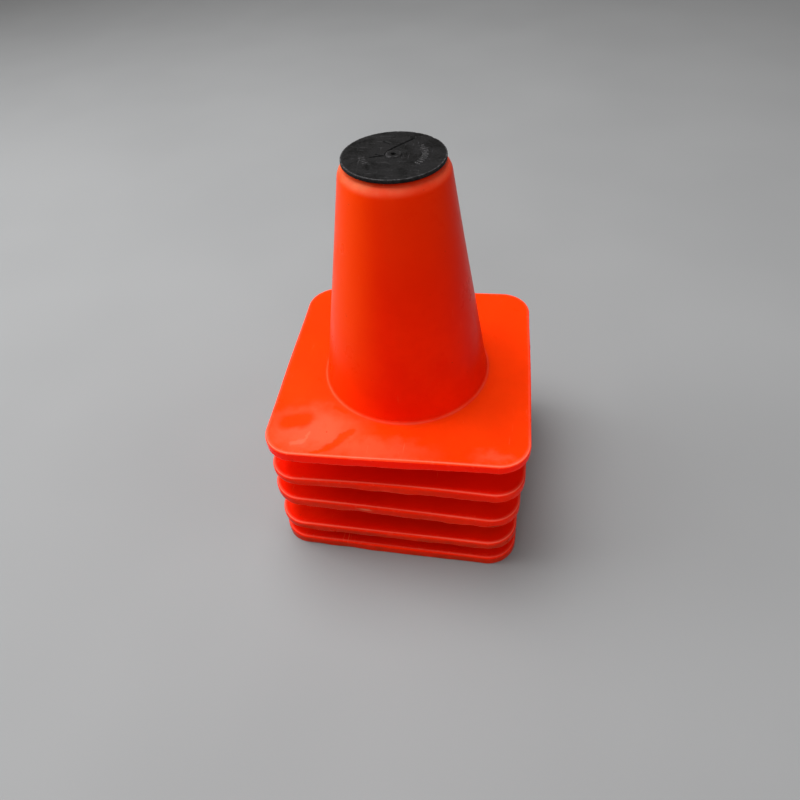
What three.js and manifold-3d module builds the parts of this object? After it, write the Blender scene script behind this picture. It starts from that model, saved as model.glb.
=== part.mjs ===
// A stack of five nested safety cones with a flat cap disc lying on the top one.
// Each cone is one soft vinyl moulding: a square base plate that runs into a hollow, tapered
// body with an open top. Millimetres, +Z up; the origin is on the floor, on the stack's axis.
import * as THREE from "three";
import { mergeVertices } from "three/addons/utils/BufferGeometryUtils.js";
import Module from "manifold-3d";

const wasm = await Module();
wasm.setup();

// One cone, measured from the underside of its own base plate.
const CONE_HEIGHT = 228.6; // to the top of the shoulder
const TOP_RISE = 1.2; // how much higher the top ring stands at its hole
const BASE_SIDE = 246;
const BASE_CORNER_RADIUS = 29.5;
const BASE_THICKNESS = 11;
const BASE_EDGE_RADIUS = 5;
const BODY_FOOT_RADIUS = 80; // outside, at the top face of the base plate
const BODY_TOP_RADIUS = 44.4; // outside, where side and top ring would meet without a shoulder
const SHOULDER_RADIUS = 11;
const FOOT_FILLET = 3.5;
const WALL = 2.8;
const TOP_HOLE_RADIUS = 19;

// The stack: how far each cone stands above the one below, how far it stands off the axis along
// X, how it is turned, and how it leans, about X and Y. The disc leans with the top cone.
const STEPS = [0, 25.4, 40.3, 36.8, 39.7];
const SHIFTS = [-0.8, -1.2, -0.8, 1.2, 0];
const TWISTS_DEG = [0, 0, 0.6, 0.9, 3.1];
const LEANS_DEG = [[0, 0], [0, 0], [0, 0], [0, 0], [0.45, 0.59]];

// The cap disc.
const DISC_RADIUS = 41.7;
const DISC_THICKNESS = 3.2;
const DISC_EDGE_RADIUS = 0.6;
const DISC_HOLE_RADIUS = 2;
const HUB_RADIUS = 6.5;
const HUB_RISE = 0.4;
const DISC_REST_GAP = 0.3;

const ROUND_SEGMENTS = 48;
const CORNER_SEGMENTS = 8;
const OVERSHOOT = 2; // how far a cutting solid runs past the face that it cuts through

const ORANGE = new THREE.MeshStandardMaterial({ color: 0xff4a14, roughness: 0.42, metalness: 0 });
const BLACK = new THREE.MeshStandardMaterial({ color: 0x232224, roughness: 0.6, metalness: 0 });

// The body's side leans in by this angle.
const LEAN = Math.atan((BODY_FOOT_RADIUS - BODY_TOP_RADIUS) / (CONE_HEIGHT - BASE_THICKNESS));

function outsideRadius(z) {
  return BODY_FOOT_RADIUS - (z - BASE_THICKNESS) * Math.tan(LEAN);
}

function insideRadius(z) {
  return outsideRadius(z) - WALL / Math.cos(LEAN);
}

// Points of a profile arc about (r, z), from one angle to another.
function arc(r, z, radius, from, to, steps) {
  const points = [];
  for (let i = 0; i <= steps; i += 1) {
    const angle = from + ((to - from) * i) / steps;
    points.push([r + radius * Math.cos(angle), z + radius * Math.sin(angle)]);
  }
  return points;
}

// A lathe turns its profile about Y, so the result is stood up to turn about Z.
function lathe(profile) {
  const points = profile.map(([r, z]) => new THREE.Vector2(r, z));
  return new THREE.LatheGeometry(points, ROUND_SEGMENTS).rotateX(Math.PI / 2);
}

function toSolid(geometry) {
  const bare = geometry.clone().deleteAttribute("normal").deleteAttribute("uv");
  const merged = mergeVertices(bare, 1e-4);
  const vertProperties = new Float32Array(merged.attributes.position.array);
  const triVerts = new Uint32Array(merged.index.array);
  return new wasm.Manifold(new wasm.Mesh({ numProp: 3, vertProperties, triVerts }));
}

function toGeometry(solid) {
  const made = solid.getMesh();
  const geometry = new THREE.BufferGeometry();
  geometry.setAttribute("position", new THREE.BufferAttribute(made.vertProperties, 3));
  geometry.setIndex(new THREE.BufferAttribute(made.triVerts, 1));
  geometry.computeVertexNormals();
  return geometry;
}

// A square plate with round corners. Its top edge is rounded and its underside is cut off sharp.
function basePlate() {
  const straight = BASE_SIDE / 2 - BASE_CORNER_RADIUS;
  const outline = new THREE.Shape();
  for (let quarter = 0; quarter < 4; quarter += 1) {
    const start = (quarter * Math.PI) / 2;
    const x = straight * (quarter === 0 || quarter === 3 ? 1 : -1);
    const y = straight * (quarter < 2 ? 1 : -1);
    outline.absarc(x, y, BASE_CORNER_RADIUS, start, start + Math.PI / 2, false);
  }
  outline.closePath();
  const blank = new THREE.ExtrudeGeometry(outline, {
    depth: BASE_THICKNESS,
    steps: 1,
    curveSegments: CORNER_SEGMENTS,
    bevelThickness: BASE_EDGE_RADIUS,
    bevelSize: BASE_EDGE_RADIUS,
    bevelOffset: -BASE_EDGE_RADIUS,
    bevelSegments: 3,
  });
  blank.translate(0, 0, -BASE_EDGE_RADIUS);
  const waste = new THREE.BoxGeometry(BASE_SIDE * 2, BASE_SIDE * 2, BASE_SIDE);
  waste.translate(0, 0, -BASE_SIDE / 2);
  return toSolid(blank).subtract(toSolid(waste));
}

// The outside of the hollow body, solid right through, with its foot fillet and its shoulder.
function bodyOutside() {
  const filletZ = BASE_THICKNESS + FOOT_FILLET;
  const filletR = outsideRadius(filletZ) + FOOT_FILLET / Math.cos(LEAN);
  const shoulderZ = CONE_HEIGHT - SHOULDER_RADIUS;
  const shoulderR = outsideRadius(shoulderZ) - SHOULDER_RADIUS / Math.cos(LEAN);
  return toSolid(
    lathe([
      [0, BASE_THICKNESS / 2],
      [filletR, BASE_THICKNESS / 2],
      ...arc(filletR, filletZ, FOOT_FILLET, -Math.PI / 2, LEAN - Math.PI, 3),
      ...arc(shoulderR, shoulderZ, SHOULDER_RADIUS, LEAN, Math.PI / 2, 4),
      [TOP_HOLE_RADIUS, CONE_HEIGHT + TOP_RISE],
      [0, CONE_HEIGHT + TOP_RISE],
    ]),
  );
}

// The hollow inside the body, out through the underside and through the top hole.
function bodyInside() {
  const shoulderZ = CONE_HEIGHT - SHOULDER_RADIUS;
  const shoulderR = outsideRadius(shoulderZ) - SHOULDER_RADIUS / Math.cos(LEAN);
  return toSolid(
    lathe([
      [0, -OVERSHOOT],
      [insideRadius(-OVERSHOOT), -OVERSHOOT],
      ...arc(shoulderR, shoulderZ, SHOULDER_RADIUS - WALL, LEAN, Math.PI / 2, 3),
      [TOP_HOLE_RADIUS, CONE_HEIGHT + TOP_RISE - WALL],
      [TOP_HOLE_RADIUS, CONE_HEIGHT + TOP_RISE + OVERSHOOT],
      [0, CONE_HEIGHT + TOP_RISE + OVERSHOOT],
    ]),
  );
}

function coneGeometry() {
  return toGeometry(basePlate().add(bodyOutside()).subtract(bodyInside()));
}

// A flat disc with a slightly raised hub round its small centre hole.
function discGeometry() {
  const edge = DISC_EDGE_RADIUS;
  const rim = DISC_RADIUS - edge;
  return lathe([
    [DISC_HOLE_RADIUS, 0],
    ...arc(rim, edge, edge, -Math.PI / 2, 0, 2),
    ...arc(rim, DISC_THICKNESS - edge, edge, 0, Math.PI / 2, 2),
    [HUB_RADIUS, DISC_THICKNESS],
    [HUB_RADIUS - HUB_RISE, DISC_THICKNESS + HUB_RISE],
    [DISC_HOLE_RADIUS, DISC_THICKNESS + HUB_RISE],
    [DISC_HOLE_RADIUS, 0],
  ]);
}

// Each cone sits in a group of its own, which puts it in its place and leans it.
const stack = new THREE.Group();
const cone = coneGeometry();
let seat;
let height = 0;
STEPS.forEach((step, i) => {
  height += step;
  seat = new THREE.Group();
  seat.position.set(SHIFTS[i], 0, height);
  seat.rotation.x = THREE.MathUtils.degToRad(LEANS_DEG[i][0]);
  seat.rotation.y = THREE.MathUtils.degToRad(LEANS_DEG[i][1]);
  stack.add(seat);
  const mesh = new THREE.Mesh(cone, ORANGE);
  mesh.name = `cone_${i + 1}`;
  mesh.rotation.z = THREE.MathUtils.degToRad(TWISTS_DEG[i]);
  seat.add(mesh);
});

// The disc lies on the top cone.
const disc = new THREE.Mesh(discGeometry(), BLACK);
disc.name = "cap_disc";
disc.position.z = CONE_HEIGHT + TOP_RISE + DISC_REST_GAP;
seat.add(disc);

export default stack;
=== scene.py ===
import math

import bpy
import numpy as np
from mathutils import Matrix, Vector


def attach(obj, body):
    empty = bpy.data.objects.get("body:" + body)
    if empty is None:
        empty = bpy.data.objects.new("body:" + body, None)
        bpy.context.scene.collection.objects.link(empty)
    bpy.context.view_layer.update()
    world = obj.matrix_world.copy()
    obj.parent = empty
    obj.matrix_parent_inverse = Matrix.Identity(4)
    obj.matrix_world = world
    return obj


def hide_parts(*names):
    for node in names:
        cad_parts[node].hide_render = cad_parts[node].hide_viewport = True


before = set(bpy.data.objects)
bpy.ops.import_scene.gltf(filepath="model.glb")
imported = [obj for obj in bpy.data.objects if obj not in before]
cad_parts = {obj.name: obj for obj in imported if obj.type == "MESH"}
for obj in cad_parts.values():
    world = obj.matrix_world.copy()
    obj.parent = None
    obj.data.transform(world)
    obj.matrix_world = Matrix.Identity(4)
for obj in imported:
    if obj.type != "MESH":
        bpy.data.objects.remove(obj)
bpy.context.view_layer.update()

MM = 0.001

# One cone, from the underside of its base plate up.
CONE_HEIGHT = 228.6  # to the top of the shoulder
TOP_RISE = 1.2  # how much higher the top ring stands at its hole
BASE_SIDE = 245.2
BASE_BOW = 0.7  # how far each side of the base plate bulges at its middle
BASE_CORNER_RADIUS = 29.5
BASE_THICKNESS = 11.0
LIP_RADIUS = 1.9  # the rounded top edge of the base plate
FOOT_RADIUS = 80.0  # outside of the body at the top face of the base plate
TOP_RADIUS = 44.4  # outside of the body at its full height, before the shoulder is rounded
SHOULDER_RADIUS = 11.0
FOOT_FILLET = 3.5
WALL = 2.8
TOP_HOLE_RADIUS = 19.0
LEAN = math.atan((FOOT_RADIUS - TOP_RADIUS) / (CONE_HEIGHT - BASE_THICKNESS))

# The cones from the lowest up: how far each stands above the one below and off the axis along X,
# how it is turned and tilted, and how far its soft base plate has bent up at its left, right, front
# and back edge.
CONE_NAMES = ("cone_1", "cone_2", "cone_3", "cone_4", "cone_5")
STEPS = (0.0, 25.4, 40.3, 36.8, 39.7)
SHIFTS = (-0.8, -1.2, -0.8, 1.2, 0.0)
TWISTS_DEG = (0.0, 0.0, 0.6, 0.9, 3.1)
TILTS_DEG = ((0.0, 0.0), (0.0, 0.0), (0.0, 0.0), (0.0, 0.0), (0.45, 0.59))
EDGE_LIFTS = (
    (0.0, 0.0, 0.0, 0.0),
    (-1.0, 1.0, 0.0, 0.0),
    (2.4, -3.9, 0.3, -0.5),
    (-4.7, -3.2, 1.9, -0.4),
    (0.8, 0.0, -0.4, 5.0),
)
# How much shorter each plate's side faces are at their left end, middle and right end.
SHORT_RIMS = (
    (0.0, 0.0, 0.0),
    (2.2, 3.3, 0.8),
    (0.8, 1.2, 1.0),
    (3.0, 0.8, 1.1),
    (0.0, 0.0, 2.4),
)
CROWNS = (0.0, 0.0, 0.0, 0.0, 2.6)  # how far each plate's middle stands above its drooping edges
CROWN_FADE = 90.0  # the height at which the body no longer shows it
PLATE_SAG = 0.55  # how much each nested plate waves up and down
RAGGED_HEIGHT = 5.0  # how far up its side a ragged lower edge is felt
OUT_OF_ROUND = 0.16  # how much each body's radius varies
RIM_DIRT_AND_SHADE = (0.64, 0.52, 0.36, 0.32, 0.0)  # how dark each plate's side faces are, with dirt and painted shade
RIM_LIGHT = (0.0, 0.0, 0.0, 0.2, 0.9)  # how much painted light brightens each plate's side faces
BODY_LIGHT = (0.0, 0.0, 0.35, 0.8, 0.0)  # and the rest of each cone
LIT_SIDE_AZIMUTH_DEG = -165  # which way the top cone's painted lit side faces, anticlockwise from +X
MARKED_CONE = 2  # the one with a pale scuff and a dirty nick on its plate's front side
SCUFF_PLACE = -26  # along X
SCUFF_LENGTH = 13
SCUFF_HEIGHT = 6.6
NICK_PLACE = 101  # along X
NICK_LENGTH = 12
NICK_DEPTH = 0.8
# Dark specks on the top cone: the place in the stack and the radius of each.
SPECKS = (((15, -46, 348), 1.4), ((-59, -97, 153), 0.9), ((-58, -70, 153), 0.9))
LIP_HIGHLIGHT = (0.5, 1.0, 1.0, 1.0, 1.0)  # how bright the painted highlight along each plate's top edge is
GAP_SHADE_STRENGTH = (0.45, 0.45, 0.45, 0.2, 0.0)  # how dark the painted shade on each plate's top is, deep in the stack

DISC_RADIUS = 41.7

SIDE_STEPS = 52  # faces along each straight side of the base plate
CORNER_STEPS = 24  # faces round each corner


# ---------------------------------------------------------------- mesh helpers

def outline(inset):
    """The base plate's outline drawn in by inset, as points anticlockwise from mid +X side."""
    half = BASE_SIDE / 2 - inset
    radius = BASE_CORNER_RADIUS - inset
    straight = BASE_SIDE / 2 - BASE_CORNER_RADIUS

    def bow(place):
        return BASE_BOW * np.cos(place / straight * math.pi / 2) ** 2

    along = np.linspace(0, straight, SIDE_STEPS // 2, endpoint=False)
    turn = np.linspace(0, math.pi / 2, CORNER_STEPS, endpoint=False)
    back = np.linspace(straight, 0, SIDE_STEPS // 2, endpoint=False)
    x = np.concatenate([half + bow(along), straight + radius * np.cos(turn), back])
    y = np.concatenate([along, straight + radius * np.sin(turn), half + bow(back)])
    quarters = []
    for _ in range(4):
        quarters.append(np.stack([x, y], axis=1))
        x, y = -y, x
    return np.concatenate(quarters)


def circle(radius, count):
    angle = np.linspace(0, 2 * math.pi, count, endpoint=False)
    return radius * np.stack([np.cos(angle), np.sin(angle)], axis=1)


def smooth(value, low, high):
    """0 below low, 1 above high, and a smooth climb between them."""
    t = np.clip((value - low) / (high - low), 0, 1)
    return t * t * (3 - 2 * t)


def bell(value, middle, width, power=2):
    """1 at the middle, falling smoothly to 0 on both sides."""
    return np.exp(-np.abs((value - middle) / width) ** power)


def ripple(points, seed, wavelength, count=7):
    """An even, seeded unevenness of about -1 to 1 through space, from crossing sine waves."""
    rng = np.random.default_rng(seed)
    total = np.zeros(len(points))
    for _ in range(count):
        direction = rng.normal(size=3)
        direction /= np.linalg.norm(direction)
        pitch = wavelength * rng.uniform(0.7, 1.5)
        total += np.sin(points @ direction * 2 * math.pi / pitch + rng.uniform(0, 2 * math.pi))
    return total / math.sqrt(count)


def mesh_from_rings(name, rings, material):
    """A closed skin through rings of points, mm, whose last ring joins the first."""
    ring_count, count, _ = rings.shape
    ring = np.arange(ring_count)[:, None]
    step = np.arange(count)[None, :]
    next_ring = (ring + 1) % ring_count
    next_step = (step + 1) % count
    quads = np.stack([
        ring * count + step,
        ring * count + next_step,
        next_ring * count + next_step,
        next_ring * count + step,
    ], axis=-1).reshape(-1, 4)
    mesh = bpy.data.meshes.new(name)
    mesh.from_pydata((rings.reshape(-1, 3) * MM).tolist(), [], quads.tolist())
    mesh.validate()
    mesh.shade_smooth()
    mesh.materials.append(material)
    piece = bpy.data.objects.new(name, mesh)
    bpy.context.scene.collection.objects.link(piece)
    return piece


def stand_for(piece, node):
    """The piece is shown for a CAD node and moves with it."""
    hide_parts(node)
    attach(piece, node)


# ---------------------------------------------------------------- node helpers

class Shader:
    """A small hand for building one node material."""

    def __init__(self, name):
        self.material = bpy.data.materials.new(name)
        self.material.use_nodes = True
        self.tree = self.material.node_tree
        self.surface = self.tree.nodes["Principled BSDF"]
        self.place = self.tree.nodes.new("ShaderNodeTexCoord").outputs["Object"]

    def node(self, kind, **settings):
        made = self.tree.nodes.new(kind)
        for key, value in settings.items():
            setattr(made, key, value)
        return made

    def feed(self, socket, value):
        if isinstance(value, bpy.types.NodeSocket):
            self.tree.links.new(value, socket)
        else:
            socket.default_value = value

    def math(self, operation, first, second, clamp=False):
        made = self.node("ShaderNodeMath", operation=operation, use_clamp=clamp)
        self.feed(made.inputs[0], first)
        self.feed(made.inputs[1], second)
        return made.outputs[0]

    def largest(self, values):
        most, *others = values
        for value in others:
            most = self.math("MAXIMUM", most, value)
        return most

    def scaled(self, value, factor):
        return self.math("MULTIPLY", value, factor)

    def noise(self, feature_mm, detail=3.0, roughness=0.55, stretch=(1, 1, 1), shift=(0, 0, 0)):
        """Noise from 0 to 1 whose blobs are about feature_mm across."""
        mapping = self.node("ShaderNodeMapping")
        mapping.inputs["Location"].default_value = shift
        mapping.inputs["Scale"].default_value = stretch
        self.feed(mapping.inputs["Vector"], self.place)
        made = self.node("ShaderNodeTexNoise")
        made.inputs["Scale"].default_value = 1 / (feature_mm * MM)
        made.inputs["Detail"].default_value = detail
        made.inputs["Roughness"].default_value = roughness
        self.feed(made.inputs["Vector"], mapping.outputs[0])
        return made.outputs["Fac"]

    def span(self, value, low, high, out_low=0.0, out_high=1.0):
        """out_low below low, out_high above high, and a smooth climb between them."""
        made = self.node("ShaderNodeMapRange", interpolation_type="SMOOTHSTEP")
        self.feed(made.inputs["Value"], value)
        made.inputs["From Min"].default_value = low
        made.inputs["From Max"].default_value = high
        made.inputs["To Min"].default_value = out_low
        made.inputs["To Max"].default_value = out_high
        return made.outputs[0]

    def mix(self, factor, first, second):
        made = self.node("ShaderNodeMix", data_type="RGBA")
        self.feed(made.inputs["Factor"], factor)
        self.feed(made.inputs["A"], first)
        self.feed(made.inputs["B"], second)
        return made.outputs["Result"]

    def attribute(self, name):
        """The number that paint() stored at each point."""
        return self.node("ShaderNodeAttribute", attribute_name=name).outputs["Fac"]

    def height(self):
        """Height in the stack, in mm."""
        axes = self.node("ShaderNodeSeparateXYZ")
        self.feed(axes.inputs[0], self.place)
        return self.math("MULTIPLY", axes.outputs["Z"], 1 / MM)

    def plan(self, wobble_mm):
        """Place seen from above, in mm, made uneven by noise."""
        scaled = self.node("ShaderNodeVectorMath", operation="MULTIPLY")
        self.feed(scaled.inputs[0], self.place)
        scaled.inputs[1].default_value = (1 / MM, 1 / MM, 0)
        noise = self.node("ShaderNodeTexNoise")
        noise.inputs["Scale"].default_value = 1 / (12 * MM)
        noise.inputs["Detail"].default_value = 3
        self.feed(noise.inputs["Vector"], self.place)
        centred = self.node("ShaderNodeVectorMath", operation="SUBTRACT")
        self.feed(centred.inputs[0], noise.outputs["Color"])
        centred.inputs[1].default_value = (0.5, 0.5, 0.5)
        moved = self.node("ShaderNodeVectorMath", operation="MULTIPLY_ADD")
        self.feed(moved.inputs[0], centred.outputs[0])
        moved.inputs[1].default_value = (wobble_mm * 2, wobble_mm * 2, 0)
        self.feed(moved.inputs[2], scaled.outputs[0])
        return moved.outputs[0]

    def blot(self, middle, half_width, half_depth):
        """1 inside an uneven oval seen from above, 0 outside, with a soft edge."""
        offset = self.node("ShaderNodeVectorMath", operation="SUBTRACT")
        self.feed(offset.inputs[0], self.plan(14))
        offset.inputs[1].default_value = (*middle, 0)
        shrunk = self.node("ShaderNodeVectorMath", operation="MULTIPLY")
        self.feed(shrunk.inputs[0], offset.outputs[0])
        shrunk.inputs[1].default_value = (1 / half_width, 1 / half_depth, 0)
        length = self.node("ShaderNodeVectorMath", operation="LENGTH")
        self.feed(length.inputs[0], shrunk.outputs[0])
        return self.span(length.outputs["Value"], 0.2, 1.3, 1.0, 0.0)

    def stroke(self, start, end, width):
        """1 along an uneven stroke between two points seen from above, 0 away from it."""
        along = Vector(end) - Vector(start)
        offset = self.node("ShaderNodeVectorMath", operation="SUBTRACT")
        self.feed(offset.inputs[0], self.plan(5))
        offset.inputs[1].default_value = (*start, 0)
        dot = self.node("ShaderNodeVectorMath", operation="DOT_PRODUCT")
        self.feed(dot.inputs[0], offset.outputs[0])
        dot.inputs[1].default_value = (*(along / along.length_squared), 0)
        share = self.math("MAXIMUM", dot.outputs["Value"], 0.0)
        share = self.math("MINIMUM", share, 1.0)
        foot = self.node("ShaderNodeVectorMath", operation="SCALE")
        foot.inputs[0].default_value = (*along, 0)
        self.feed(foot.inputs["Scale"], share)
        gap = self.node("ShaderNodeVectorMath", operation="DISTANCE")
        self.feed(gap.inputs[0], offset.outputs[0])
        self.feed(gap.inputs[1], foot.outputs[0])
        return self.span(gap.outputs["Value"], width * 0.22, width * 0.62, 1.0, 0.0)

    def spot(self, middle, radius):
        """1 inside a small ball round a point in the stack, 0 outside."""
        gap = self.node("ShaderNodeVectorMath", operation="DISTANCE")
        self.feed(gap.inputs[0], self.place)
        gap.inputs[1].default_value = [c * MM for c in middle]
        return self.span(gap.outputs["Value"], radius * MM * 0.5, radius * MM * 1.2, 0.8, 0.0)

    def bump(self, height, depth_mm, onto=None):
        """Surface relief from a height of 0 to 1, on top of another relief if there is one."""
        made = self.node("ShaderNodeBump")
        made.inputs["Distance"].default_value = depth_mm * MM
        self.feed(made.inputs["Height"], height)
        if onto is not None:
            self.feed(made.inputs["Normal"], onto)
        return made.outputs["Normal"]


def rgb(red, green, blue):
    return (red, green, blue, 1.0)


# ---------------------------------------------------------------- materials

VINYL = rgb(0.74, 0.008, 0.0002)
VINYL_CLOUD = rgb(0.80, 0.012, 0.0003)
VINYL_MOTTLE = rgb(0.68, 0.006, 0.0002)
LIT_VINYL = rgb(0.98, 0.007, 0.0002)
SHADED_VINYL = rgb(0.42, 0.002, 0.0001)
UPPER_BODY_VINYL = rgb(0.69, 0.020, 0.0004)
LIT_SIDE_VINYL = rgb(0.80, 0.046, 0.0008)
LIT_PLATE_TINT = rgb(0.95, 0.28, 0.01)
CHALK_AND_SHEEN = rgb(0.95, 0.27, 0.17)
SCRATCHED_VINYL = rgb(0.92, 0.30, 0.18)
FILM_AND_SHEEN = rgb(0.64, 0.25, 0.13)
LIP_HIGHLIGHT_COLOUR = rgb(1.0, 0.20, 0.13)
DIRT_AND_SHADE = rgb(0.14, 0.020, 0.005)
UPPER_BODY_FROM = 220  # heights in the stack between which the body grows darker and more orange
UPPER_BODY_TO = 380

# The chalky bloom and painted sheen on the top plate, seen from above. A blot has a middle, half its
# width, half its depth and a strength. A stroke has a start, an end and a width.
BLOOM_AND_SHEEN_BLOTS = (
    ((-72, -98), 50, 34, 1.0),
    ((-16, -112), 62, 15, 0.62),
    ((96, -107), 24, 10, 0.6),
)
WIPED_STROKES = (
    ((-67, -124), (-54, -117), 5.0),
    ((-54, -117), (-42, -101), 10.0),
    ((-42, -101), (-35, -93), 6.5),
    ((-99, -90), (-84, -84), 22.0),
    ((-58, -67), (-46, -71), 5.5),
)
THICK_STROKES = (
    ((-87, -115), (-80, -110), 6.0),
    ((-79, -108), (-74, -100), 4.0),
)
BLOOM_AND_SHEEN_STRENGTH = 0.175
THICK_STRENGTH = 0.12


def chalky_bloom_and_sheen(s):
    """How thick the bloom and painted sheen lie, with bare places where they were wiped off."""
    bloom_and_sheen = s.largest([s.scaled(s.blot(middle, half_width, half_depth), strength)
                       for middle, half_width, half_depth, strength in BLOOM_AND_SHEEN_BLOTS])
    wiped = s.largest([s.stroke(*stroke) for stroke in WIPED_STROKES])
    bloom_and_sheen = s.math("MULTIPLY", bloom_and_sheen, s.math("SUBTRACT", 1.0, wiped, clamp=True))
    thick = s.largest([s.stroke(*stroke) for stroke in THICK_STROKES])
    return s.math("ADD", s.scaled(bloom_and_sheen, BLOOM_AND_SHEEN_STRENGTH), s.scaled(thick, THICK_STRENGTH))


def orange_vinyl():
    s = Shader("orange_vinyl")
    cloud = s.noise(70, detail=2)
    mottle = s.noise(9, detail=4)
    colour = s.mix(s.span(cloud, 0.35, 0.65), VINYL, VINYL_CLOUD)
    colour = s.mix(s.span(mottle, 0.3, 0.75, 0.0, 0.25), colour, VINYL_MOTTLE)
    # Painted light: brighter vinyl on the lit side faces, plate edges and lips.
    colour = s.mix(s.attribute("painted_light"), colour, LIT_VINYL)
    # Painted shade between the plates, deep in the stack.
    colour = s.mix(s.attribute("gap_shade"), colour, SHADED_VINYL)
    # The body is a little darker and more orange towards its top, and painted a warmer orange on its
    # lit side.
    upper_body = s.span(s.height(), UPPER_BODY_FROM, UPPER_BODY_TO, 0.0, 0.9)
    colour = s.mix(upper_body, colour, UPPER_BODY_VINYL)
    colour = s.mix(s.attribute("lit_side_tint"), colour, LIT_SIDE_VINYL)
    # A chalky bloom, partly a painted sheen, lies on the top plate's front.
    top_plate = s.attribute("top_plate")
    bloom_and_sheen = s.math("MULTIPLY", chalky_bloom_and_sheen(s), top_plate)
    # The top plate is painted a lighter orange, standing for the stronger light on it.
    colour = s.mix(s.scaled(top_plate, 0.085), colour, LIT_PLATE_TINT)
    colour = s.mix(bloom_and_sheen, colour, CHALK_AND_SHEEN)
    # Fine pale scratches, in patches, across the surface, and scuffs where it is worn.
    lines = s.noise(1.6, detail=2, stretch=(1, 0.05, 0.05))
    patches = s.noise(38, detail=3, shift=(3, 1, 2))
    scratches = s.math("MULTIPLY", s.span(lines, 0.66, 0.72), s.span(patches, 0.55, 0.68))
    scuffs = s.math("MULTIPLY", s.attribute("wear"), s.span(s.noise(3.2, detail=5), 0.52, 0.66))
    pale = s.largest([s.scaled(scratches, 0.16), s.scaled(scuffs, 0.09)])
    colour = s.mix(pale, colour, SCRATCHED_VINYL)
    # A patchy pale film with painted sheen, and the painted highlight along the plates' top edges.
    patchy = s.span(s.noise(20, detail=3), 0.25, 0.6, 0.5, 1.0)
    film_and_sheen = s.math("MULTIPLY", s.attribute("film_and_sheen"), patchy)
    colour = s.mix(film_and_sheen, colour, FILM_AND_SHEEN)
    colour = s.mix(s.attribute("lip"), colour, LIP_HIGHLIGHT_COLOUR)
    # Dirt and painted shade, thicker in places, and dark specks.
    specks = s.scaled(s.span(s.noise(2.4, detail=1, shift=(7, 5, 1)), 0.79, 0.82), 0.5)
    patchy = s.span(s.noise(14, detail=4), 0.3, 0.7, 0.5, 1.0)
    grime_and_shade = s.math("MULTIPLY", s.attribute("grime_and_shade"), patchy)
    spots = [s.spot(middle, radius) for middle, radius in SPECKS]
    colour = s.mix(s.largest([specks, grime_and_shade, *spots]), colour, DIRT_AND_SHADE)
    s.feed(s.surface.inputs["Base Color"], colour)
    gloss = s.math("ADD", s.span(s.noise(26, detail=4, shift=(1, 4, 9)), 0.3, 0.7, 0.27, 0.36),
                   s.math("MULTIPLY", pale, 0.3))
    s.feed(s.surface.inputs["Roughness"], gloss)
    s.surface.inputs["Specular IOR Level"].default_value = 0.055
    s.surface.inputs["Specular Tint"].default_value = rgb(1.0, 0.5, 0.08)
    s.surface.inputs["Subsurface Weight"].default_value = 0.12
    s.surface.inputs["Subsurface Radius"].default_value = (1.0, 0.15, 0.05)
    s.surface.inputs["Subsurface Scale"].default_value = 0.003
    normal = s.bump(s.noise(1.1, detail=2), 0.02)
    normal = s.bump(s.noise(11, detail=2), 0.10, normal)
    s.feed(s.surface.inputs["Normal"], normal)
    return s.material


def black_disc():
    s = Shader("black_disc")
    cloud = s.noise(12, detail=5)
    colour = s.mix(s.span(cloud, 0.35, 0.65), rgb(0.0004, 0.0004, 0.0004), rgb(0.006, 0.0056, 0.0058))
    grain = s.span(s.noise(1.3, detail=4, roughness=0.7), 0.4, 0.7, 0.0, 0.6)
    colour = s.mix(grain, colour, rgb(0.015, 0.0145, 0.015))
    lines = s.noise(0.9, detail=2, stretch=(0.06, 1, 1))
    cross_lines = s.noise(0.8, detail=2, stretch=(0.9, 0.07, 1), shift=(2, 2, 2))
    scratches = s.math("MAXIMUM", s.span(lines, 0.64, 0.72), s.span(cross_lines, 0.67, 0.74))
    scuffs = s.math("MULTIPLY", s.attribute("wear"), s.span(s.noise(1.4, detail=4), 0.38, 0.6))
    pale = s.math("MAXIMUM", s.math("MULTIPLY", scratches, 0.26), s.math("MULTIPLY", scuffs, 0.9))
    colour = s.mix(pale, colour, rgb(0.12, 0.115, 0.12))
    colour = s.mix(s.attribute("cut"), colour, rgb(0.0005, 0.0005, 0.0005))
    s.feed(s.surface.inputs["Base Color"], colour)
    rough = s.span(cloud, 0.36, 0.6, 0.42, 0.72)
    rough = s.math("ADD", rough, s.math("MULTIPLY", s.attribute("cut"), 0.25))
    s.feed(s.surface.inputs["Roughness"], rough)
    s.surface.inputs["Specular IOR Level"].default_value = 0.09
    normal = s.bump(s.noise(0.9, detail=3), 0.14)
    normal = s.bump(scratches, 0.04, normal)
    s.feed(s.surface.inputs["Normal"], normal)
    return s.material


def pale_floor():
    s = Shader("pale_floor")
    cloud = s.noise(400, detail=2)
    colour = s.mix(s.span(cloud, 0.3, 0.7), rgb(0.232, 0.236, 0.24), rgb(0.245, 0.249, 0.253))
    s.feed(s.surface.inputs["Base Color"], colour)
    s.surface.inputs["Roughness"].default_value = 0.9
    return s.material


# ---------------------------------------------------------------- the cones

def outside_radius(z):
    return FOOT_RADIUS - (z - BASE_THICKNESS) * math.tan(LEAN)


def inside_radius(z):
    return outside_radius(z) - WALL / math.cos(LEAN)


def arc(r, z, radius, start, end, steps):
    """Profile points (r, z) round a centre, both ends included."""
    return [(r + radius * math.cos(a), z + radius * math.sin(a))
            for a in np.linspace(start, end, steps + 1)]


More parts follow.
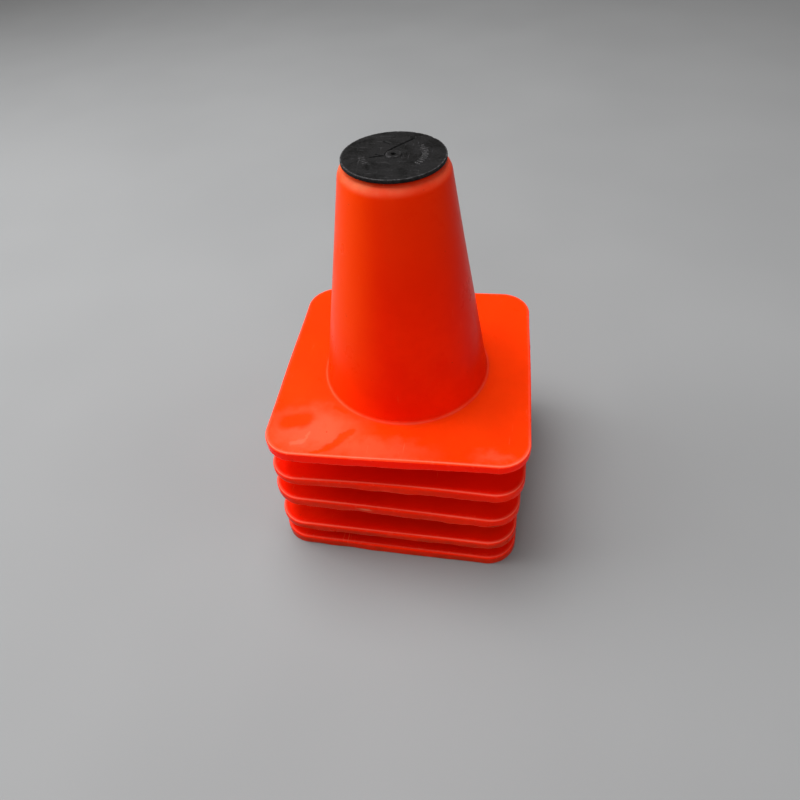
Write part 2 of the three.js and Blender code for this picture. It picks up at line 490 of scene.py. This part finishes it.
def body_profile():
    """The round part of one cone's profile: up the inside, through the top and down the outside."""
    shoulder_z = CONE_HEIGHT - SHOULDER_RADIUS
    shoulder_r = outside_radius(shoulder_z) - SHOULDER_RADIUS / math.cos(LEAN)
    inner_shoulder = SHOULDER_RADIUS - WALL
    lip = WALL * 0.3  # rounding of the top hole's two edges
    fillet_z = BASE_THICKNESS + FOOT_FILLET
    fillet_r = outside_radius(fillet_z) + FOOT_FILLET / math.cos(LEAN)
    hole = TOP_HOLE_RADIUS + lip
    points = [(inside_radius(z), z) for z in np.linspace(0.6, shoulder_z - 12, 9)]
    points += arc(shoulder_r, shoulder_z, inner_shoulder, LEAN, math.pi / 2, 6)
    points += arc(hole, CONE_HEIGHT + TOP_RISE - WALL + lip, lip, -math.pi / 2, -math.pi, 3)
    points += arc(hole, CONE_HEIGHT + TOP_RISE - lip, lip, math.pi, math.pi / 2, 3)
    points += arc(shoulder_r, shoulder_z, SHOULDER_RADIUS, math.pi / 2, LEAN, 9)
    points += [(outside_radius(z), z) for z in np.linspace(shoulder_z - 8, fillet_z + 5, 16)]
    points += arc(fillet_r, fillet_z, FOOT_FILLET, LEAN - math.pi, -math.pi / 2, 6)
    return points


def plate_profile():
    """The base plate's rings as (share of outline, inset or radius, z), outwards, then under."""
    foot = outside_radius(BASE_THICKNESS) + FOOT_FILLET + 1.5
    top = [(share, LIP_RADIUS, BASE_THICKNESS) for share in (*np.linspace(0, 0.97, 15), 1)]
    lip = [(1.0, LIP_RADIUS * (1 - math.sin(a)), BASE_THICKNESS - LIP_RADIUS * (1 - math.cos(a)))
           for a in np.linspace(0, math.pi / 2, 10)[1:]]
    side = [(1.0, 0.0, z) for z in (6.6, 5.0, 3.6, 2.5, 1.6, 0.9)]
    edge = [(1.0, 0.15, 0.4), (1.0, 0.45, 0.1), (1.0, 0.9, 0.0)]
    under = [(share, 0.9, 0.0) for share in (0.8, 0.55, 0.3, 0.1)]
    return foot, top + lip + side + edge + under


def cone_rings():
    """All rings of one cone, untwisted and even."""
    ring_size = 4 * (SIDE_STEPS + CORNER_STEPS)
    rings = [np.column_stack([circle(r, ring_size), np.full(ring_size, z)])
             for r, z in body_profile()]
    foot, plate = plate_profile()
    for share, inset, z in plate:
        inner = circle(foot if z > 1 else inside_radius(0) + 0.4, ring_size)
        flat = inner * (1 - share) + outline(inset) * share
        rings.append(np.column_stack([flat, np.full(ring_size, z)]))
    return np.array(rings)


def edge_lift(points, left, right, front, back):
    """Height of a bent plate whose edges are lifted so far at their middles."""
    across = points[:, 0] / (BASE_SIDE / 2)
    deep = points[:, 1] / (BASE_SIDE / 2)
    sideways = (right - left) / 2 * across + (right + left) / 2 * across ** 2
    lengthways = (back - front) / 2 * deep + (back + front) / 2 * deep ** 2
    return sideways + lengthways * (1 - 0.5 * np.clip(abs(across), 0, 1) ** 2)


def crown(points, index, out):
    """How far the foot of a hanging cone stands up above its drooping plate, fading up the body."""
    return CROWNS[index] * (1 - out) * (1 - smooth(points[:, 2], BASE_THICKNESS, CROWN_FADE))


def seated(points, index, twist_deg):
    """Points drawn on a cone's own base, put where that cone sits in the stack."""
    tilt_x, tilt_y = TILTS_DEG[index]
    turn = Matrix.Rotation(math.radians(tilt_x), 3, "X")
    turn = turn @ Matrix.Rotation(math.radians(tilt_y), 3, "Y")
    turn = turn @ Matrix.Rotation(math.radians(twist_deg), 3, "Z")
    return points @ np.array(turn).T + np.array([SHIFTS[index], 0, sum(STEPS[:index + 1])])


def painted_lit_side(points):
    """1 on the body's side painted as lit, 0 from a little over a right angle away from it."""
    angle = np.arctan2(points[:, 1], points[:, 0]) - math.radians(LIT_SIDE_AZIMUTH_DEG)
    return smooth(np.cos(angle), 0.3, 1.0) * (0.55 + 0.45 * smooth(points[:, 2], 20, 120))


def bend(points, index, out, low, nick, reach):
    """The points of one cone after sagging, wear and uneven moulding have moved them."""
    moved = points.copy()
    # The soft plate sags and waves a little, more towards its edges.
    lift = edge_lift(points, *EDGE_LIFTS[index]) * out + crown(points, index, out)
    if index > 0:
        lift = lift + PLATE_SAG * ripple(points, 20 + index, 150) * out
    # The foot of the rim is ragged where the mould's halves met.
    ragged = 0.7 * ripple(points, 40 + index, 34) + 0.3 * ripple(points, 60 + index, 9)
    ragged += np.interp(points[:, 0] / (BASE_SIDE / 2), (-1, 0, 1), SHORT_RIMS[index])
    if index == 0:
        ragged = abs(ragged) * 0.5
    moved[:, 2] += lift + ragged * low
    moved[:, 2] += NICK_DEPTH * nick * low
    grow = 1 + (0.25 * ripple(points, 80 + index, 30) - 0.15) * low / reach
    moved[:, :2] *= grow[:, None]
    # The body isn't quite round.
    body = (1 - out) * (reach > TOP_HOLE_RADIUS + 4)
    wave = OUT_OF_ROUND * ripple(points, 100 + index, 120) * body
    moved[:, :2] *= (1 + wave / reach)[:, None]
    return moved


def make_cone(index, material):
    name = CONE_NAMES[index]
    rings = cone_rings()
    points = rings.reshape(-1, 3)
    x, y, z = points.T
    reach = np.hypot(x, y)
    on_plate = (z <= BASE_THICKNESS + 0.01) & (reach > FOOT_RADIUS)
    # How far in from the plate's outline each point is, but no further than the corners' radius.
    past = np.maximum(abs(points[:, :2]) - (BASE_SIDE / 2 - BASE_CORNER_RADIUS), 0)
    edge_gap = BASE_CORNER_RADIUS - np.hypot(past[:, 0], past[:, 1])
    side = on_plate & (edge_gap < 4) & (z < BASE_THICKNESS - LIP_RADIUS)
    front_side = side & (y < 0) & (index == MARKED_CONE)
    out = smooth(reach, FOOT_RADIUS + 2, BASE_SIDE * 0.52) * on_plate
    low = np.clip(1 - z / RAGGED_HEIGHT, 0, 1) * side
    nick = bell(x, NICK_PLACE, NICK_LENGTH / 2) * front_side * (1 - smooth(z, 2, 5))

    moved = bend(points, index, out, low, nick, reach)
    placed = seated(moved, index, TWISTS_DEG[index])
    piece = mesh_from_rings(f"moulded_{name}", placed.reshape(rings.shape), material)

    # The plate's edges are scuffed.
    lip_height = abs(z - (BASE_THICKNESS - LIP_RADIUS * 0.3))
    wear = on_plate * np.clip(1 - lip_height / 3, 0, 1) * (edge_gap < 4)
    wear = np.maximum(wear * 0.7, low * 0.6)

    # Painted sheen lies on the shoulder outside the disc's shadow, a pale line partly a painted
    # highlight in the fillet, and a pale film along the lower edge.
    shoulder = smooth(z, CONE_HEIGHT - 9, CONE_HEIGHT - 3)
    shoulder = shoulder * smooth(reach, DISC_RADIUS - 3.5, DISC_RADIUS - 0.5)
    # The shoulder's painted sheen is brighter on its left, the lit side.
    shoulder = shoulder * (0.75 + 0.25 * np.clip(-x / 20, -1, 1))
    foot_line = bell(reach, FOOT_RADIUS + 1.2, 0.9) * (abs(z - BASE_THICKNESS - 1.2) < 1.4)
    flash_line = on_plate * (edge_gap < 2) * bell(z, 0, 1)
    film_and_sheen = np.maximum(0.18 * foot_line, 0.13 * flash_line)
    film_and_sheen = np.maximum(film_and_sheen, 0.42 * shoulder)
    scuff = bell(x, SCUFF_PLACE, SCUFF_LENGTH / 2, power=4) * front_side
    film_and_sheen = np.maximum(film_and_sheen, 0.6 * scuff * bell(z, SCUFF_HEIGHT, 0.9))

    # Dirt lies round the foot, in the nick and on the left of the shoulder; dirt and painted shade
    # darken the rim's side.
    foot = bell(reach, FOOT_RADIUS + 2, 4) * (abs(z - BASE_THICKNESS) < 6)
    rim = on_plate * (edge_gap < LIP_RADIUS)
    rim_side = rim * (1 - smooth(z, BASE_THICKNESS - 2.6, BASE_THICKNESS - 1.0))
    lighter_right_ends = 0.75 * smooth(x, 30, 110) * (index in (2, 3))  # the right ends of two rims are painted less dark
    grime_and_shade = np.maximum(0.10 * foot, RIM_DIRT_AND_SHADE[index] * rim_side * (1 - lighter_right_ends))
    grime_and_shade = np.maximum(grime_and_shade, 0.95 * nick)
    grime_and_shade = np.maximum(grime_and_shade, 0.32 * shoulder * np.clip(-x / 30, 0, 1))

    # A painted highlight runs along the plate's top edge, most along the front.
    lip_line = on_plate * (z > BASE_THICKNESS * 0.5) * bell(edge_gap, LIP_RADIUS * 0.7, 0.6)
    lip_highlight = LIP_HIGHLIGHT[index] * lip_line * (0.3 + 0.7 * smooth(-y, 70, 112))
    painted_light = RIM_LIGHT[index] * rim + BODY_LIGHT[index] * (1 - rim)
    painted_light = np.maximum(painted_light, lip_highlight)
    # A nested plate's top gets painted light along its edges and painted shade further in.
    nested_top = on_plate * (z > BASE_THICKNESS - 0.02) * (index < len(STEPS) - 1)
    painted_light = np.maximum(painted_light, 0.9 * nested_top * np.clip(1 - edge_gap / 14, 0, 1))
    gap_shade = GAP_SHADE_STRENGTH[index] * nested_top * np.clip((edge_gap - 8) / 18, 0, 1)

    is_top = index == len(STEPS) - 1
    paint(piece, "wear", wear)
    paint(piece, "grime_and_shade", grime_and_shade)
    paint(piece, "painted_light", painted_light)
    paint(piece, "gap_shade", gap_shade)
    paint(piece, "lit_side_tint", painted_lit_side(points) * (1 - on_plate) * is_top)
    paint(piece, "top_plate", on_plate * (z > BASE_THICKNESS - 1) * is_top)
    paint(piece, "film_and_sheen", film_and_sheen)
    paint(piece, "lip", 0.6 * lip_highlight)
    stand_for(piece, name)


def paint(piece, name, values):
    """Stores one number per point for the shader."""
    layer = piece.data.attributes.new(name, "FLOAT", "POINT")
    layer.data.foreach_set("value", np.asarray(values, dtype=np.float32))


# ---------------------------------------------------------------- the disc

DISC_THICKNESS = 3.2
DISC_EDGE = 0.7
DISC_REST_GAP = 0.3
DISC_HOLE = 2.0
HUB_RADIUS = 6.1
HUB_RISE = 0.7
TURNING_MARKS = (8.8, 10.6)  # radii of faint rings in the top face
TURNING_DEPTH = 0.22
DISC_STEPS = 384  # points round each ring
RIM_CHIP = (-0.58, -0.77)  # the place of a larger nick in the rim, in shares of the disc's radius
# The raised marks: the band they lie in, how far apart they are, and each arc's ends and height.
TICK_BAND = (22.0, 27.6)
TICK_PITCH_DEG = 7.2
RIGHT_ARC_DEG = (-36, 44)
LEFT_ARC_DEG = (190, 225)
RIGHT_ARC_HEIGHT = 0.45
LEFT_ARC_HEIGHT = 0.22
# Gouges in the top face: start, end, width and depth; places are shares of the disc's radius.
GOUGES = (
    ((0.29, 0.72), (-0.07, 0.24), 1.7, 0.9),
    ((-0.07, 0.24), (-0.13, 0.12), 1.6, 0.9),
    ((-0.18, -0.06), (-0.41, -0.14), 1.8, 0.9),
    ((-0.18, -0.06), (-0.33, -0.02), 1.4, 0.7),
    ((-0.26, 0.52), (-0.14, 0.44), 2.4, 0.8),
    ((-0.38, -0.44), (-0.35, -0.60), 3.4, 0.5),
)


def capsule_distance(x, y, start, end):
    """How far each point lies from the line between start and end."""
    ax, ay = start
    dx, dy = end[0] - ax, end[1] - ay
    t = np.clip(((x - ax) * dx + (y - ay) * dy) / (dx * dx + dy * dy), 0, 1)
    return np.hypot(x - ax - t * dx, y - ay - t * dy)


def disc_profile():
    rim = DISC_RADIUS - DISC_EDGE
    top = DISC_THICKNESS
    hub = top + HUB_RISE
    points = [(DISC_HOLE, 0.2), (DISC_HOLE + 0.2, 0)]
    points += [(r, 0) for r in np.linspace(DISC_HOLE + 4, rim - 4, 6)]
    points += arc(rim, DISC_EDGE, DISC_EDGE, -math.pi / 2, 0, 4)
    points += arc(rim, top - DISC_EDGE, DISC_EDGE, 0, math.pi / 2, 5)
    points += [(r, top) for r in np.linspace(rim - 0.5, HUB_RADIUS + 0.9, 66)]
    points += [(HUB_RADIUS + 0.8, top - 0.4), (HUB_RADIUS + 0.4, top - 0.5), (HUB_RADIUS + 0.1, top)]
    points += [(HUB_RADIUS - 0.15, hub - 0.1), (HUB_RADIUS - 0.5, hub), (HUB_RADIUS - 1.8, hub)]
    points += [(DISC_HOLE + 0.6, hub), (DISC_HOLE + 0.15, hub - 0.15), (DISC_HOLE, hub - 0.5)]
    return points


def raised_ticks(x, y):
    """Height of the generic raised marks, two arcs of short radial ticks."""
    reach = np.hypot(x, y)
    angle = np.degrees(np.arctan2(y, x))
    inner, outer = TICK_BAND
    band = smooth(reach, inner, inner + 0.5) * (1 - smooth(reach, outer - 0.5, outer))
    off_deg = abs((angle + 360) % TICK_PITCH_DEG - TICK_PITCH_DEG / 2)
    stroke = 1 - smooth(off_deg * np.radians(1) * reach, 0.4, 0.75)

    def along(angle, ends):
        return smooth(angle, ends[0], ends[0] + 1) * (1 - smooth(angle, ends[1] - 1, ends[1]))

    right = along(angle, RIGHT_ARC_DEG) * RIGHT_ARC_HEIGHT
    left = along(angle % 360, LEFT_ARC_DEG) * LEFT_ARC_HEIGHT
    return band * stroke * (right + left)


def make_disc(material):
    rings = np.array([np.column_stack([circle(r, DISC_STEPS), np.full(DISC_STEPS, z)])
                      for r, z in disc_profile()])
    points = rings.reshape(-1, 3)
    x, y, z = points.T
    reach = np.hypot(x, y)
    upper = z > DISC_THICKNESS * 0.6
    face = upper & (reach < DISC_RADIUS - 1.5)
    depth = np.zeros(len(points))
    for start, end, width, deep in GOUGES:
        start = [c * DISC_RADIUS for c in start]
        end = [c * DISC_RADIUS for c in end]
        gap = capsule_distance(x, y, start, end) + 0.15 * ripple(points, 7, 2.5)
        depth = np.maximum(depth, deep * (1 - smooth(gap, width * 0.15, width * 0.7)))
    plain = face & (reach > HUB_RADIUS + 1)
    height = -depth * face + raised_ticks(x, y) * plain
    height += 0.05 * ripple(points, 3, 14) * plain
    # Faint turning marks lie to one side of the hub.
    for mark in TURNING_MARKS:
        height -= TURNING_DEPTH * bell(reach, mark, 0.4) * plain * smooth(x, -2, 5)
    # The rim is nicked and rubbed.
    rim = smooth(reach, DISC_RADIUS - 1.5, DISC_RADIUS - 0.4)
    nicks = np.clip(ripple(points, 11, 5) - 0.9, 0, 1) * 0.3
    chip_gap = np.hypot(x - RIM_CHIP[0] * DISC_RADIUS, y - RIM_CHIP[1] * DISC_RADIUS)
    nicks += 0.9 * bell(chip_gap, 0, 1.6)
    moved = points.copy()
    moved[:, 2] += height - 0.5 * nicks * rim * upper
    moved[:, :2] *= (1 - nicks * rim * upper / np.maximum(reach, 1))[:, None]

    moved[:, 2] += CONE_HEIGHT + TOP_RISE + DISC_REST_GAP
    placed = seated(moved, len(STEPS) - 1, 0)
    piece = mesh_from_rings("worn_cap_disc", placed.reshape(rings.shape), material)
    # The rim's top edge is painted pale all round: rubbed wear, and partly a painted highlight.
    rub_and_highlight = bell(reach, DISC_RADIUS - 0.6, 0.45) * upper
    wear = np.maximum(0.6 * rub_and_highlight, smooth(raised_ticks(x, y), 0.1, 0.25) * plain * 0.5)
    wear = np.maximum(wear, (abs(reach - HUB_RADIUS + 0.5) < 0.6) * upper * 0.25)
    paint(piece, "wear", wear)
    paint(piece, "cut", np.clip(depth * 1.2, 0, 1) * face)
    stand_for(piece, "cap_disc")


# ---------------------------------------------------------------- floor, light and camera

# Metres from here on.
FLOOR_HALF_SIDE = 6.0
LIGHT_TARGET = (0, 0, 0.15)
# Each lamp's name, place, width and watts. Together they stand for an overcast sky.
LAMPS = (
    ("sky_overhead", (-0.6, 0.4, 2.5), 2.1, 88),
    ("sky_left", (-2.2, 0.0, 1.5), 1.8, 38),
    ("sky_front", (-0.2, -2.6, 0.8), 2.0, 34),
    ("sky_right", (2.5, -0.4, 1.1), 1.6, 15),
)
SKY_STRENGTH = 0.13
CAMERA_PLACE = (0.1084, -0.4794, 0.5973)
CAMERA_TARGET = (0.0061, -0.0675, 0.1732)
CAMERA_ROLL_DEG = -5.24
LENS_MM = 29.4
SENSOR_MM = 36


def make_floor(material):
    half = FLOOR_HALF_SIDE
    mesh = bpy.data.meshes.new("floor")
    mesh.from_pydata([(-half, -half, 0), (half, -half, 0), (half, half, 0), (-half, half, 0)],
                     [], [(0, 1, 2, 3)])
    mesh.materials.append(material)
    floor = bpy.data.objects.new("floor", mesh)
    bpy.context.scene.collection.objects.link(floor)


def aim(thing, place, target, roll_deg=0.0):
    """Stands a camera or light at place, looking at target, rolled about its line of sight."""
    back = (Vector(place) - Vector(target)).normalized()
    turn = back.to_track_quat("Z", "Y").to_matrix() @ Matrix.Rotation(math.radians(roll_deg), 3, "Z")
    thing.matrix_world = Matrix.Translation(place) @ turn.to_4x4()


def soft_light(name, place, size, watts):
    data = bpy.data.lights.new(name, "AREA")
    data.shape = "DISK"
    data.size = size
    data.energy = watts
    light = bpy.data.objects.new(name, data)
    bpy.context.scene.collection.objects.link(light)
    aim(light, place, LIGHT_TARGET)


def make_light():
    world = bpy.data.worlds.new("overcast")
    world.use_nodes = True
    sky = world.node_tree.nodes["Background"]
    sky.inputs["Color"].default_value = rgb(1.0, 0.93, 0.86)
    sky.inputs["Strength"].default_value = SKY_STRENGTH
    bpy.context.scene.world = world
    for lamp in LAMPS:
        soft_light(*lamp)
    bpy.context.scene.view_settings.view_transform = "Standard"


def make_camera():
    data = bpy.data.cameras.new("camera")
    data.sensor_width = SENSOR_MM
    data.lens = LENS_MM
    camera = bpy.data.objects.new("camera", data)
    bpy.context.scene.collection.objects.link(camera)
    aim(camera, CAMERA_PLACE, CAMERA_TARGET, CAMERA_ROLL_DEG)
    bpy.context.scene.camera = camera


# ---------------------------------------------------------------- the whole scene

make_camera()
vinyl = orange_vinyl()
for cone_index in range(len(CONE_NAMES)):
    make_cone(cone_index, vinyl)
make_disc(black_disc())
make_floor(pale_floor())
make_light()
